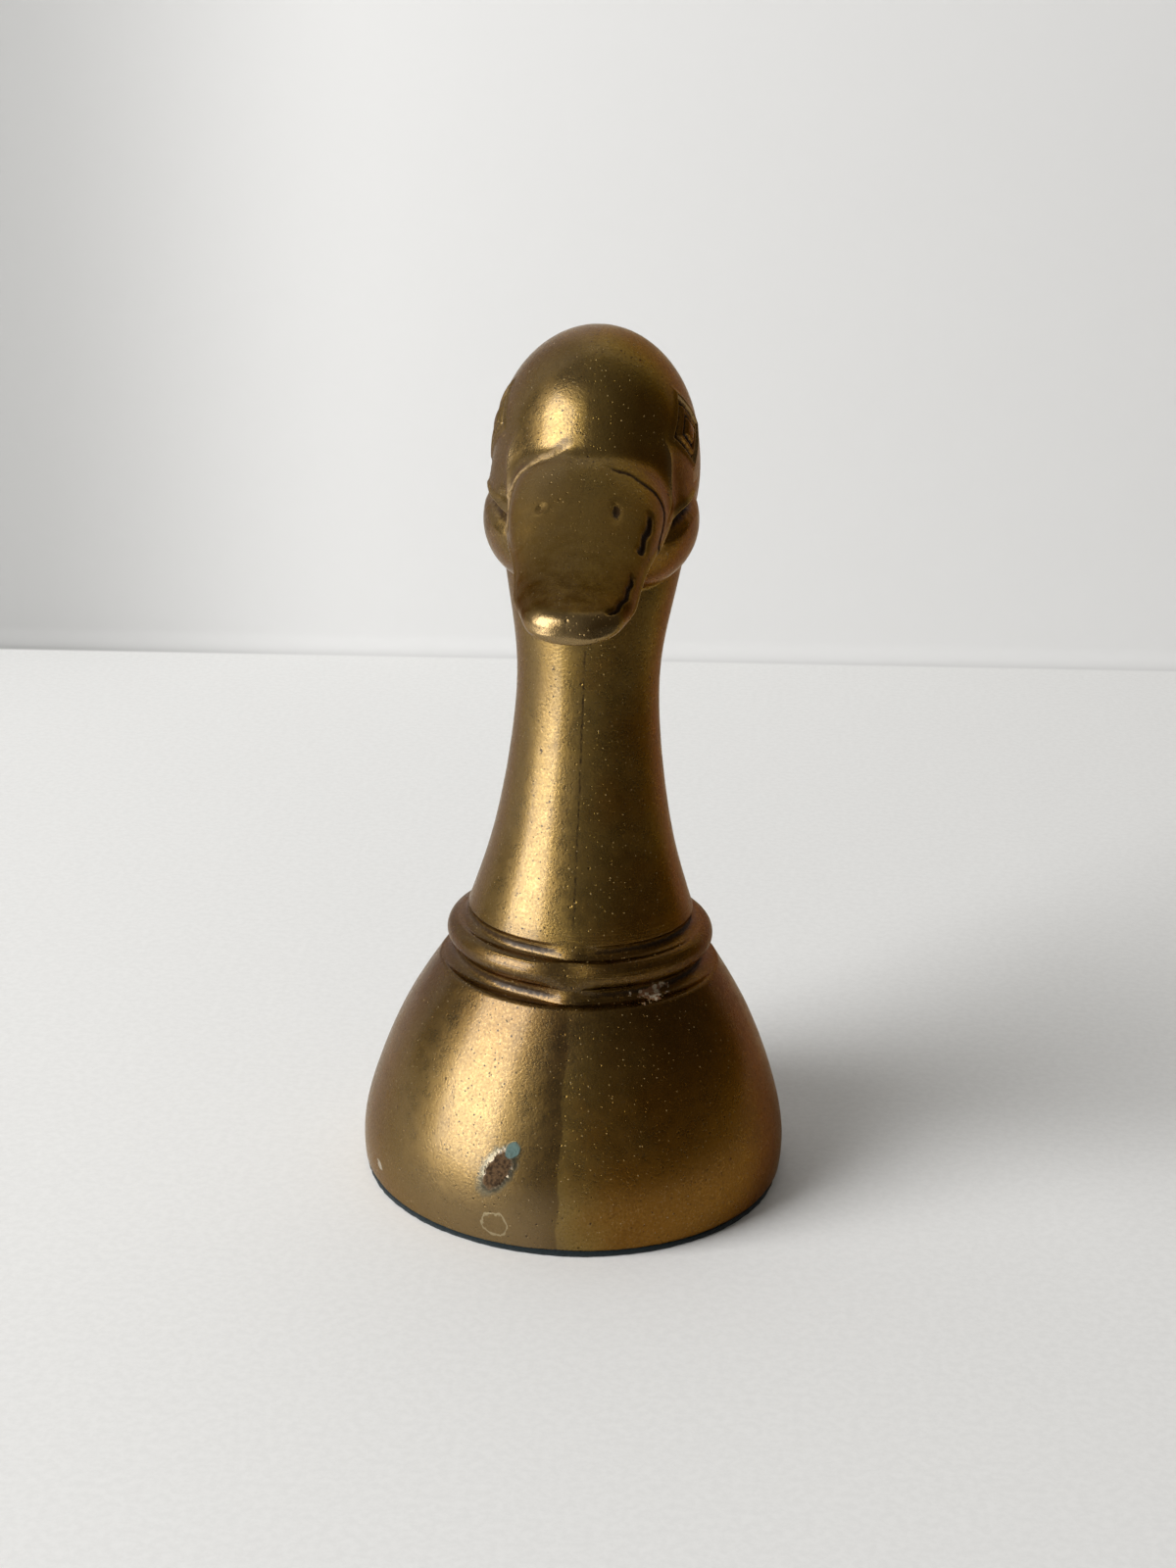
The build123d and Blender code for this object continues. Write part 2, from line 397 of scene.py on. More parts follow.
class Place:
    """Points of one half, with the measures that its details are placed by."""

    def __init__(self, x, y, z, side):
        self.x, self.y, self.z = x, y, z
        self.side = side
        self.s = np.abs(x)
        self.d = -y
        self.head = ease(112, 120, z)
        self.over_bill = z - np.interp(self.d, table_d, bill_height)
        self.below_mouth = np.interp(self.d, table_d, mouth_height) - z
        waver = FEATHER_SKEW * side + 0.2 * np.sin(1.3 * self.s + 0.8 * side)
        fall = FEATHER_FALL * np.logaddexp(0, FEATHER_BEND * (FEATHER_CORNER - z)) / FEATHER_BEND
        self.past_feathers = self.d - FEATHER_FORWARD - FEATHER_SWEEP * self.s - fall - waver
        self.on_bill = ease(-0.45, 0.45, self.past_feathers)
        over_mouth = ease(-1.2, 0.3, -self.below_mouth)
        self.feathers = ease(2.2, 5.5, self.s) * over_mouth * self.head * ease(8, 14, self.d)

    def pick(self, pair):
        """The first of a pair on the duck's left, the second on its right."""
        return pair[0] if self.side > 0 else pair[1]

    def waves(self, length, phase):
        """The calm unevenness at these points."""
        return waves(self.x, self.y, self.z, length, phase)


def feather_detail(p):
    """The feathers end in a step over the bill, rubbed away at the middle and crusted on the duck's right,
    where pale lime along the step's edge is partly a painted highlight.
    """
    past, shown = p.past_feathers, p.feathers
    raised = (1 - p.on_bill) * 0.1 * np.exp(-np.maximum(-past, 0) / 2)
    sunk = p.on_bill * 0.75 * np.exp(-np.maximum(past, 0) / 8)
    crust = p.pick(FEATHER_CRUSTS) * shown * bump(past + 0.3 * p.side, 0.9)
    dirt = p.pick(FEATHER_DIRTS) * shown * bump(past - 0.2, 0.45)
    # Pale lime along the step's edge: partly crust, partly a painted highlight
    lime = p.pick(FEATHER_LIMES_AND_PAINTED_HIGHLIGHTS) * shown * bump(past + 0.4, 0.5)
    relief = p.pick(FEATHER_STEPS) * shown * (raised - sunk) + 0.05 * crust * p.waves(1.9, 0.3)
    return relief, {"grime_and_painted_shade": dirt, "crust": crust, "lime": lime}


def bill_detail(p):
    """No relief: the bill is dull, with a painted highlight at its root on the duck's right, the window's
    side, and rubbed at the front of its tip.
    """
    past = p.past_feathers
    tip_front = p.head * ease(-2.6, -1.1, p.d - BILL_TIP + 0.05 * p.s ** 2)
    dull = p.head * ease(16, 22, p.d) * ease(-0.5, 0.7, past) * ease(-0.5, 0.5, p.over_bill)
    dull = dull * (0.1 + 0.9 * ease(0, 18, past)) * (1 - 0.8 * tip_front)
    root_painted_highlight = p.pick(BILL_ROOT_PAINTED_HIGHLIGHTS) * p.feathers * p.on_bill * (1 - ease(3, 13, past)) * (1 - ease(9, 13, p.s))
    return 0.0, {"dull": dull, "polish_and_painted_highlight": np.maximum(root_painted_highlight, 0.8 * tip_front)}


def crest_detail(p):
    """A crest from under the eye to the corner of the bill, where lime has settled on the duck's right."""
    start, slope, curl = CREST_FORWARD
    fallen = np.maximum(CREST_TOP - p.z, -6)
    off = p.d - start - slope * fallen - curl * fallen * np.abs(fallen)
    out = ease(8, 11, p.s)
    shown = out * window(p.z, (140.5, 143.5), (149.5, 155.0))
    relief = CREST_RISE * shown * (np.exp(-np.abs(off) / 1.3) - 0.2 * bump(off - 2.6, 1.8))
    corner = out * bump(off - 0.9, 0.8) * bump(p.z - CORNER_LIME_HEIGHT, CORNER_LIME_REACH)
    return relief, {"polish_and_painted_highlight": shown * bump(off, 0.7), "lime": p.pick(CORNER_LIMES) * corner}


def mouth_detail(p):
    """A sharp lip over a rough recess, darkened with dirt and painted shade, and under the bill a smaller
    lower half.
    """
    below = p.below_mouth
    run = p.head * ease(0, 10, p.d) * ease(6, 9, p.s + 0.25 * np.maximum(p.d - 35, 0))
    cheek = 1 - ease(34, 42, p.d)
    recess = cheek * window(below, (0, 0.45), (1.1, 4.2))
    under = LOWER_BILL_INSET * ease(0, 0.5, below) * (1 - cheek)
    lip = bump(below + 0.35, 0.5) * window(p.d, (5, 12), (52, 58))
    rough = MOUTH_ROUGHNESS * p.waves(2.3, 1.0) * recess
    # Darkening of the recess: partly dirt, partly painted shade; and a dark line under the bill along the
    # mouth
    dirt = np.maximum(0.78 * recess, 0.8 * (1 - cheek) * bump(below - 0.5, 0.6))
    relief = run * (LIP_RISE * lip - MOUTH_RECESS * recess - under + rough)
    return relief, {"grime_and_painted_shade": run * dirt, "polish_and_painted_highlight": run * lip}


def eye_detail(p):
    """From the edge in: a rim, a groove, a band, a groove and a lozenge."""
    lengthwise = np.abs(p.d - EYE_FORWARD - EYE_SKEW * p.side) / EYE_HALF_LENGTH
    upright = np.abs(p.z - EYE_HEIGHT) / EYE_HALF_HEIGHT
    depth = EYE_HALF_LENGTH * EYE_HALF_HEIGHT / math.hypot(EYE_HALF_LENGTH, EYE_HALF_HEIGHT)
    inward = (1 - lengthwise - upright) * depth
    flank = ease(9, 12, p.s)
    rim = 0.3 * bump(inward + 0.5, 0.5)
    groove = bump(inward - 0.6, 0.58)
    band = 0.2 * ease(0.7, 1.5, inward)
    inner_groove = bump(inward - 2.35, 0.42)
    lozenge = 0.25 * ease(2.2, 4.2, inward)
    relief = flank * (rim - groove + band - 0.65 * inner_groove + lozenge)
    polish_and_painted_highlight = flank * bump(inward + 0.2, 0.3)
    return relief, {"grime_and_painted_shade": flank * np.maximum(groove, inner_groove), "polish_and_painted_highlight": polish_and_painted_highlight}


def nostril_detail(p):
    """An open pit on the duck's left, and one clogged with dirt on the right."""
    over = p.s - p.pick(NOSTRIL_SPREADS)
    ahead = p.d - NOSTRIL_FORWARD
    on_top = p.over_bill > 0
    pit = bump(over, p.pick(NOSTRIL_HALF_WIDTHS)) * bump(ahead, p.pick(NOSTRIL_HALF_LENGTHS)) * on_top
    rim = bump(np.hypot(over, ahead) - 1.2, 0.4) * on_top
    relief = p.pick(NOSTRIL_RING_RISES) * rim - p.pick(NOSTRIL_DEPTHS) * pit
    return relief, {"grime_and_painted_shade": p.pick(NOSTRIL_DIRTS) * pit}


def edge_groove_detail(p):
    """Two grooves along each upper edge of the bill, weaker on the duck's right."""
    along = window(p.d, (31.5, 33.5), (41.0, 42.5)) + window(p.d, (47.5, 49.0), (60.0, 62.0))
    tip = np.clip((p.d - BILL_TIP_START) / (BILL_TIP - BILL_TIP_START), 0, 0.98)
    narrow = (1 - tip ** BILL_TIP_SQUARENESS) ** (1 / BILL_TIP_SQUARENESS)
    place = EDGE_GROOVE_PLACE * bill_width(p.d, p.side) * narrow + 0.12 * np.sin(1.3 * p.d)
    width = 0.5 - 0.15 * ease(42, 46, p.d)
    groove = p.pick(EDGE_GROOVE_SHARES) * bump(p.s - place, width) * along * (p.over_bill > 0)
    return -EDGE_GROOVE_DEPTH * groove, {"grime_and_painted_shade": groove}


def collar_detail(p):
    """No relief: the collar's grooves hold dirt, less where they are filed at the seam."""
    dirt = np.maximum(bump(p.z - 46.9, 0.9), bump(p.z - 54.7, 0.8))
    return 0.0, {"grime_and_painted_shade": 0.75 * dirt * (1 - 0.8 * bump(p.s, 3.5))}


def seam_detail(p):
    """The seam, filed over: a ridge on the neck and a valley on the bust."""
    lift = np.interp(p.z, SEAM_HEIGHTS, SEAM_LIFTS) * np.exp(-p.s / SEAM_FADE)
    return lift - SEAM_DEPTH * bump(p.s, 0.4), {}


def scab_detail(p):
    """A scab with a raised edge on the front of the bust."""
    over, up = p.side * p.s - SCAB[0], p.z - SCAB[1]
    lengthwise = (over * math.sin(SCAB_LEAN) + up * math.cos(SCAB_LEAN)) / SCAB_HALF_SIZE[1]
    crosswise = (over * math.cos(SCAB_LEAN) - up * math.sin(SCAB_LEAN)) / SCAB_HALF_SIZE[0]
    off = np.hypot(lengthwise, crosswise) + 0.08 * p.waves(2.6, 0.9)
    crust = (1 - ease(0.8, 1.0, off)) * (0.6 + 0.25 * p.waves(2.0, 0.2))
    return SCAB_RISE * (crust + 0.5 * bump(off - 0.85, 0.1)) * (p.d > 0), {}


def casting_detail(p):
    """The unevenness of the casting, always inward."""
    across = p.x * p.side
    long = 1 + waves(across, p.y, p.z, 15.0, 0.7)
    short = 1 + waves(across, p.y, p.z, 7.0, 2.1)
    return -0.03 * long - 0.01 * short, {}


DETAILS = (
    feather_detail, bill_detail, crest_detail, mouth_detail, eye_detail, nostril_detail,
    edge_groove_detail, collar_detail, seam_detail, scab_detail, casting_detail,
)
MASKS = ("grime_and_painted_shade", "polish_and_painted_highlight", "dull", "crust", "lime")


def detail(x, y, z, side):
    """How far the surface stands out of the plain form, and the masks for its materials."""
    place = Place(x, y, z, side)
    out = 0.0
    masks = dict.fromkeys(MASKS, 0.0)
    for made in DETAILS:
        relief, marks = made(place)
        out = out + relief
        for label, mask in marks.items():
            masks[label] = np.maximum(masks[label], mask)
    return out, masks


def field(points, side):
    """Distance to the finished surface at points."""
    x, y, z = points.T
    return form(x, y, z, side) - detail(x, y, z, side)[0]


def gradient(points, side, reach=0.12):
    """Direction in which the distance grows, not made one long."""
    slopes = []
    for axis in np.eye(3) * reach:
        slopes.append((field(points + axis, side) - field(points - axis, side)) / (2 * reach))
    return np.stack(slopes, axis=1)


def settle(points, side, free, rounds=4, least_slope=0.05, longest_move=0.4):
    """Moves points onto the surface, each only along its free axes."""
    for _ in range(rounds):
        slope = gradient(points, side) * free
        size = np.maximum((slope ** 2).sum(axis=1), least_slope)
        move = -(field(points, side) / size)[:, None] * slope
        length = np.linalg.norm(move, axis=1, keepdims=True)
        points = points + move * np.minimum(1, longest_move / np.maximum(length, 1e-9))
    return points


def chain(edges, place):
    """Points along an open run of edges, from the end with the lower place."""
    linked = {}
    for a, b in edges:
        linked.setdefault(a, []).append(b)
        linked.setdefault(b, []).append(a)
    start = min((i for i in linked if len(linked[i]) == 1), key=lambda i: place[i])
    order = [start, linked[start][0]]
    while len(linked[order[-1]]) > 1:
        a, b = linked[order[-1]]
        order.append(a if b == order[-2] else b)
    return np.array(order)


def head_volume(side):
    """The head's skin as points and four-sided faces, to a few cells beyond the middle and the join."""
    beyond = MARGIN_CELLS * VOXEL
    xs = np.arange(-beyond, HEAD_OUT, VOXEL, dtype=np.float32)
    ys = np.arange(HEAD_FRONT, HEAD_BACK, VOXEL, dtype=np.float32)
    zs = np.arange(JOIN_HEIGHT - beyond, HEAD_TOP, VOXEL, dtype=np.float32)
    values = form(xs[:, None, None], ys[None, :, None], zs[None, None, :], side)
    near = np.nonzero(np.abs(values) < NEAR_SURFACE)
    values[near] -= detail(xs[near[0]], ys[near[1]], zs[near[2]], side)[0]
    grid = openvdb.FloatGrid(NEAR_SURFACE)
    grid.copyFromArray(np.clip(values, -NEAR_SURFACE, NEAR_SURFACE))
    points, quads = grid.convertToQuads(0.0)
    points = points.astype(float) * VOXEL + (xs[0], ys[0], zs[0])
    return settle(points, side, np.ones(3), 1), quads


def trimmed(points, quads):
    """The head's skin cut at the middle and at the join, as a bmesh."""
    mesh = bpy.data.meshes.new("head_volume")
    mesh.from_pydata(points.tolist(), [], quads.tolist())
    work = bmesh.new()
    work.from_mesh(mesh)
    bpy.data.meshes.remove(mesh)
    for corner, normal in (((0, 0, 0), (1, 0, 0)), ((0, 0, JOIN_HEIGHT), (0, 0, 1))):
        everything = work.verts[:] + work.edges[:] + work.faces[:]
        bmesh.ops.bisect_plane(
            work, geom=everything, dist=0.02, plane_co=corner, plane_no=normal, clear_inner=True
        )
    bmesh.ops.dissolve_degenerate(work, dist=0.01, edges=work.edges[:])
    work.verts.index_update()
    return work


def head_skin(side):
    """The head's outer skin on the side of +X, above the join: its points, its faces and its lower edge."""
    work = trimmed(*head_volume(side))
    points = np.array([v.co for v in work.verts])
    faces = [[v.index for v in f.verts] for f in work.faces]
    edges = [[v.index for v in e.verts] for e in work.edges if e.is_boundary]
    work.free()
    middle = np.abs(points[:, 0]) < ON_PLANE
    low = np.abs(points[:, 2] - JOIN_HEIGHT) < ON_PLANE
    lower_edge = chain([e for e in edges if low[e].all()], points[:, 1])
    points[middle, 0] = 0
    points[low, 2] = JOIN_HEIGHT
    free = np.ones_like(points)
    free[middle, 0] = 0
    free[low, 2] = 0
    return settle(points, side, free, 2), faces, lower_edge


def spread(low, high, step, dense):
    """Places from low to high, closer together around one place."""
    place, width, closer = dense
    fine = np.linspace(low, high, 2000)
    weight = 1 + (closer - 1) * bump(fine - place, width)
    run = np.concatenate([[0], np.cumsum((weight[1:] + weight[:-1]) / 2 * np.diff(fine))])
    count = int(round(run[-1] / step)) + 1
    return np.interp(np.linspace(0, run[-1], count), run, fine)


def ring(angles, radius, axis_y, height):
    """Points of a half turn about an upright axis, its ends on the seam."""
    x = radius * np.sin(angles)
    x[[0, -1]] = 0
    return np.stack([x, axis_y - radius * np.cos(angles), np.full(len(angles), height)], axis=1)


def turned_rows(side, angles):
    """Rings of points on the bust, the collar and the neck, from the rim to the join."""
    bust_rows = spread(FELT_THICKNESS, BUST_HEIGHTS[-1], ROW_STEP, SCAB_ROWS if side < 0 else EVEN)
    collar_end = NECK_HEIGHTS[0] + COLLAR_ROWS_BEYOND
    collar_rows = np.arange(BUST_HEIGHTS[-1] + COLLAR_ROW_STEP, collar_end, COLLAR_ROW_STEP)
    neck_rows = np.linspace(collar_rows[-1] + NECK_ROW_GAP, JOIN_HEIGHT - JOIN_GAP, NECK_ROWS)
    rows = np.concatenate([bust_rows, collar_rows, neck_rows])
    radii = np.interp(rows, table_z, turned_radius)
    setbacks = np.interp(rows, table_z, turned_setback)
    skin = np.stack([ring(angles, *row) for row in zip(radii, setbacks, rows)])
    free = np.ones_like(skin)
    free[:, (0, -1), 0] = 0
    free[:, :, 2] = 0
    return settle(skin.reshape(-1, 3), side, free.reshape(-1, 3)).reshape(skin.shape)


def inner_radius(angles, axis_y, height):
    """Distance from an upright axis to the wall of the hollow, found by halving."""
    near = np.zeros(len(angles))
    far = np.full(len(angles), HOLLOW_REACH)
    for _ in range(HALVINGS):
        middle = (near + far) / 2
        x, y = middle * np.sin(angles), axis_y - middle * np.cos(angles)
        inside = np.minimum(turned(x, y, height, WALL), skull(x, y, height, WALL)) < 0
        near = np.where(inside, middle, near)
        far = np.where(inside, far, middle)
    return near


def inner_rows(angles):
    """Rings of points from the rim over the disc's seat and up the hollow."""
    rows = [ring(angles, SEAT_RADIUS, 0.0, height) for height in (FELT_THICKNESS, DISC_TOP)]
    share = np.linspace(0, 1, INNER_ROWS + 1)[:-1]
    for height in DISC_TOP + (HOLLOW_TOP - DISC_TOP) * np.sin(share * math.pi / 2):
        axis_y = np.interp(height, table_z, turned_setback)
        axis_y = axis_y + (SKULL_SETBACK - axis_y) * ease(120, SKULL_HEIGHT, height)
        rows.append(ring(angles, inner_radius(angles, axis_y, height), axis_y, height))
    return rows


def strip(lower, upper, wide):
    """Faces between two rings, each given by its first point."""
    return [[lower + j, lower + j + 1, upper + j + 1, upper + j] for j in range(wide - 1)]


def stitch(lower, angles, upper, turns):
    """Triangles between a ring and the run of points above it, taken in the order of their angles."""
    faces = []
    i = j = 0
    while i < len(upper) - 1 or j < len(angles) - 1:
        if j == len(angles) - 1 or (i < len(upper) - 1 and turns[i + 1] <= angles[j + 1]):
            faces.append([lower + j, upper[i + 1], upper[i]])
            i += 1
        else:
            faces.append([lower + j, lower + j + 1, upper[i]])
            j += 1
    return faces


def half_shell(side):
    """Points, faces, and how many of the points and faces are outer skin."""
    head, faces, lower_edge = head_skin(side)
    angles = spread(0, math.pi, math.pi / COLUMNS, SCAB_COLUMNS if side < 0 else EVEN)
    wide = len(angles)
    points = [head]
    rim = count = len(head)
    for row in turned_rows(side, angles):
        if count > rim:
            faces += strip(count - wide, count, wide)
        points.append(row)
        count += wide
    axis_y = np.interp(JOIN_HEIGHT, table_z, turned_setback)
    turns = np.arctan2(head[lower_edge, 0], axis_y - head[lower_edge, 1])
    faces += stitch(count - wide, angles, lower_edge, turns)
    skin_points, skin_faces = count, len(faces)

    last = rim
    for row in inner_rows(angles):
        faces += strip(count, last, wide)
        points.append(row)
        last = count
        count += wide
    points.append(np.array([[0, SKULL_SETBACK, HOLLOW_TOP]]))
    faces += [[last + j, count, last + j + 1] for j in range(wide - 1)]
    return np.concatenate(points), faces, skin_points, skin_faces


def add_object(name, data):
    """An object in the scene."""
    made = bpy.data.objects.new(name, data)
    bpy.context.scene.collection.objects.link(made)
    return made


def close_seam(mesh, skin_faces):
    """Fills the flat face on the middle plane, facing away from the half, and counts the edges left open."""
    work = bmesh.new()
    work.from_mesh(mesh)
    seam = [e for e in work.edges if e.is_boundary and all(v.co.x == 0 for v in e.verts)]
    bmesh.ops.triangle_fill(work, use_beauty=True, use_dissolve=False, edges=seam, normal=(-1, 0, 0))
    open_edges = sum(e.is_boundary for e in work.edges)
    work.faces.ensure_lookup_table()
    for face in work.faces[skin_faces:]:
        if all(v.co.x == 0 for v in face.verts) and face.normal.x > 0:
            face.normal_flip()
    work.to_mesh(mesh)
    work.free()
    return open_edges


def shade(mesh, normals, skin_faces):
    """Gives the skin its own normals at its points, and the other faces their flat ones."""
    corner = np.zeros(len(mesh.loops), np.int32)
    mesh.loops.foreach_get("vertex_index", corner)
    sizes = np.zeros(len(mesh.polygons), np.int32)
    mesh.polygons.foreach_get("loop_total", sizes)
    flat = np.zeros(len(mesh.polygons) * 3, np.float32)
    mesh.polygons.foreach_get("normal", flat)
    face_of = np.repeat(np.arange(len(sizes)), sizes)
    on_skin = face_of < skin_faces
    shown = flat.reshape(-1, 3)[face_of]
    shown[on_skin] = normals[corner[on_skin]]
    mesh.polygons.foreach_set("use_smooth", np.ones(len(sizes), bool))
    mesh.normals_split_custom_set(shown.tolist())


def make_half(name, side):
    """One half shell as an object, with its masks as attributes and its normals from the form."""
    points, faces, skin_points, skin_faces = half_shell(side)
    mesh = bpy.data.meshes.new(name)
    mesh.from_pydata(points.tolist(), [], faces)
    open_edges = close_seam(mesh, skin_faces)
    print(name, len(mesh.vertices), "points", len(mesh.polygons), "faces", open_edges, "open edges")

    normals = gradient(points[:skin_points], side)
    normals /= np.maximum(np.linalg.norm(normals, axis=1, keepdims=True), 1e-9)
    masks = detail(*points.T, side)[1]
    co = np.array([v.co for v in mesh.vertices])
    if side < 0:
        co[:, 0] *= -1
        normals[:, 0] *= -1
        mesh.flip_normals()
    mesh.vertices.foreach_set("co", (co * MM).astype(np.float32).ravel())
    mesh.update()
    for label, mask in masks.items():
        attribute = mesh.attributes.new(label, "FLOAT", "POINT")
        attribute.data.foreach_set("value", np.clip(mask, 0, 1).astype(np.float32))
    shade(mesh, normals, skin_faces)
    return add_object(name, mesh)


left_half = make_half("cast_left_half", 1)
right_half = make_half("cast_right_half", -1)


class Look:
    """A procedural material: small helpers that add nodes and return their output sockets."""

    def __init__(self, name):
        self.material = bpy.data.materials.new(name)
        self.material.use_nodes = True
        self.nodes = self.material.node_tree.nodes
        self.links = self.material.node_tree.links
        self.shader = self.nodes["Principled BSDF"]
        place = self.add("ShaderNodeTexCoord").outputs["Object"]
        scaled = self.add("ShaderNodeVectorMath", {0: place, "Scale": 1 / MM}, operation="SCALE")
        self.place = scaled.outputs[0]
        self.x, self.y, self.z = self.add("ShaderNodeSeparateXYZ", {0: self.place}).outputs

    def add(self, kind, inputs=None, **settings):
        """A node with some of its inputs put in and its settings made."""
        made = self.nodes.new(kind)
        for key, value in settings.items():
            setattr(made, key, value)
        for key, value in (inputs or {}).items():
            self.put(value, made.inputs[key])
        return made

    def put(self, value, socket):
        if isinstance(value, bpy.types.NodeSocket):
            self.links.new(value, socket)
        else:
            socket.default_value = value

    def set(self, name, value):
        self.put(value, self.shader.inputs[name])

    def math(self, operation, a, b=0.0, clamp=False):
        return self.add("ShaderNodeMath", {0: a, 1: b}, operation=operation, use_clamp=clamp).outputs[0]

    def times(self, *parts):
        return reduce(lambda a, b: self.math("MULTIPLY", a, b), parts)

    def plus(self, *parts):
        return reduce(lambda a, b: self.math("ADD", a, b), parts)

    def most(self, *parts):
        return reduce(lambda a, b: self.math("MAXIMUM", a, b), parts)

    def span(self, value, low, high, out_low=0.0, out_high=1.0):
        """From one output to another while a value goes from low to high."""
        inputs = dict(enumerate((value, low, high, out_low, out_high)))
        return self.add("ShaderNodeMapRange", inputs, interpolation_type="SMOOTHSTEP").outputs[0]

    def fall(self, value, low, high):
        return self.span(value, low, high, 1.0, 0.0)

    def band(self, value, rise, fall):
        """1 between a rise and a fall, 0 outside them."""
        return self.times(self.span(value, *rise), self.fall(value, *fall))

    def stretched(self, scale, shift=(0, 0, 0)):
        inputs = {"Vector": self.place, "Scale": scale, "Location": shift}
        return self.add("ShaderNodeMapping", inputs).outputs[0]

    def noise(self, scale, detail=4.0, roughness=0.55, place=None):
        inputs = {"Vector": place or self.place, "Scale": scale, "Detail": detail, "Roughness": roughness}
        return self.add("ShaderNodeTexNoise", inputs).outputs["Fac"]

    def uneven(self, size, scale, detail=4.0, roughness=0.55):
        """Noise about 0, of a size from its lowest to its highest."""
        return self.times(self.math("SUBTRACT", self.noise(scale, detail, roughness), 0.5), size)

    def dots(self, scale, radius, share, shift=(0, 0, 0)):
        """Round marks in a random share of the cells of a scattered grid."""
        place = self.stretched((scale,) * 3, shift)
        made = self.add("ShaderNodeTexVoronoi", {"Vector": place, "Scale": 1.0})
        apart = self.add("ShaderNodeSeparateColor", {0: made.outputs["Color"]})
        chosen = self.math("LESS_THAN", apart.outputs[0], share)
        size = self.times(apart.outputs[1], radius)
        near = self.math("SUBTRACT", 1.0, self.math("DIVIDE", made.outputs["Distance"], size), clamp=True)
        return self.times(self.span(near, 0.0, 0.7), chosen)

    def mask(self, name):
        return self.add("ShaderNodeAttribute", attribute_name=name).outputs["Fac"]

    def mix(self, share, a, b):
        """A colour between two, each a socket or red, green and blue."""
        a, b = ((*tone, 1) if isinstance(tone, tuple) else tone for tone in (a, b))
        return self.add("ShaderNodeMix", {0: share, 6: a, 7: b}, data_type="RGBA").outputs[2]

    def layered(self, colour, layers):
        """A colour under layers, each a share and a colour."""
        for share, tone in layers:
            colour = self.mix(share, colour, tone)
        return colour

    def mix_value(self, share, a, b):
        return self.add("ShaderNodeMix", {0: share, 2: a, 3: b}, data_type="FLOAT").outputs[0]

    def oval(self, centre, half_size, lean, ragged, scale):
        """Distance from a leaning oval mark on the front, 1 at its ragged edge."""
        dx = self.math("SUBTRACT", self.x, centre[0])
        dz = self.math("SUBTRACT", self.z, centre[1])
        c, s = math.cos(lean), math.sin(lean)
        along = self.plus(self.times(dx, s), self.times(dz, c))
        over = self.math("SUBTRACT", self.times(dx, c), self.times(dz, s))
        along = self.math("POWER", self.math("DIVIDE", along, half_size[1]), 2.0)
        over = self.math("POWER", self.math("DIVIDE", over, half_size[0]), 2.0)
        away = self.math("SQRT", self.plus(along, over))
        behind = self.times(self.math("GREATER_THAN", self.y, 0.0), 50.0)
        return self.plus(away, self.uneven(ragged, scale, 5.0), behind)

    def relief(self, height, depth):
        """Bump of the shader, of a depth in metres."""
        made = self.add("ShaderNodeBump", {"Strength": 1.0, "Distance": depth, "Height": height})
        self.set("Normal", made.outputs[0])


# Marks on the front: place across and up, half size, lean, and how ragged and how finely ragged the edge is
SCAB_MARK = (SCAB, SCAB_HALF_SIZE, SCAB_LEAN, 0.7, 0.7)
VERDIGRIS_MARK = ((-9.0, 20.4), (1.3, 1.8), 0.6, 0.6, 0.9)
RING_MARK = ((-11.9, 5.6), (2.2, 2.3), 0.0, 1.3, 0.45)
SPECK_MARK = ((-37.0, 6.2), (0.8, 1.7), -0.5, 2.2, 0.8)
CRUST_MARK = ((15.6, 46.6), (4.6, 1.7), 0.0, 2.4, 0.75)

# Pits and dust: cells per millimetre, largest radius and share of the cells, and where the cells start
PITS = (0.5, 0.2, 0.4)
FINE_PITS = (1.4, 0.34, 0.35, (5, 2, 9))
SEAM_PITS = (0.9, 0.36, 0.6, (3, 1, 4))
CRUST_PITS = (1.7, 0.5, 0.8, (2, 8, 6))
DUST_SPECKS = (1.1, 0.23, 0.75, (11, 5, 2))

# Colours of the brass
# Pale brass is a painted highlight on the window's side, red brass a painted warm reflection on the far side
PALE_BRASS_PAINTED_HIGHLIGHT = (0.165, 0.105, 0.034)
OLIVE_BRASS = (0.225, 0.142, 0.034)
RED_BRASS_PAINTED_REFLECTION = (0.192, 0.085, 0.009)
# Tarnish, also the colour of the painted shade beside the seam
TARNISH_AND_PAINTED_SHADE = (0.08, 0.041, 0.009)
# Rubbed brass, also the colour of painted highlights
RUBBED_AND_PAINTED_HIGHLIGHT = (0.30, 0.205, 0.095)
DULL_BILL = (0.20, 0.125, 0.04)
DARK_BILL = (0.06, 0.034, 0.009)
GRAZING_BRASS = (0.58, 0.39, 0.17)

# Colours of what lies on it
# Grime, also the colour of the painted shade in the mouth's recess
GRIME_AND_PAINTED_SHADE = (0.03, 0.016, 0.006)
DUST = (0.34, 0.25, 0.13)
SCAB_HALO = (0.075, 0.075, 0.055)
SCAB_BROWN = (0.105, 0.062, 0.032)
SCAB_DARK = (0.04, 0.025, 0.015)
SCAB_EDGE = (0.24, 0.17, 0.10)
VERDIGRIS = (0.10, 0.165, 0.155)
RING_STAIN = (0.55, 0.46, 0.28)
SPECKS = (0.30, 0.27, 0.22)
# Lime crust, on the feather step partly a painted highlight
LIME_AND_PAINTED_HIGHLIGHT = (0.33, 0.23, 0.125)
CRUST_PINK = (0.20, 0.10, 0.05)
CRUST_CREAM = (0.50, 0.42, 0.30)

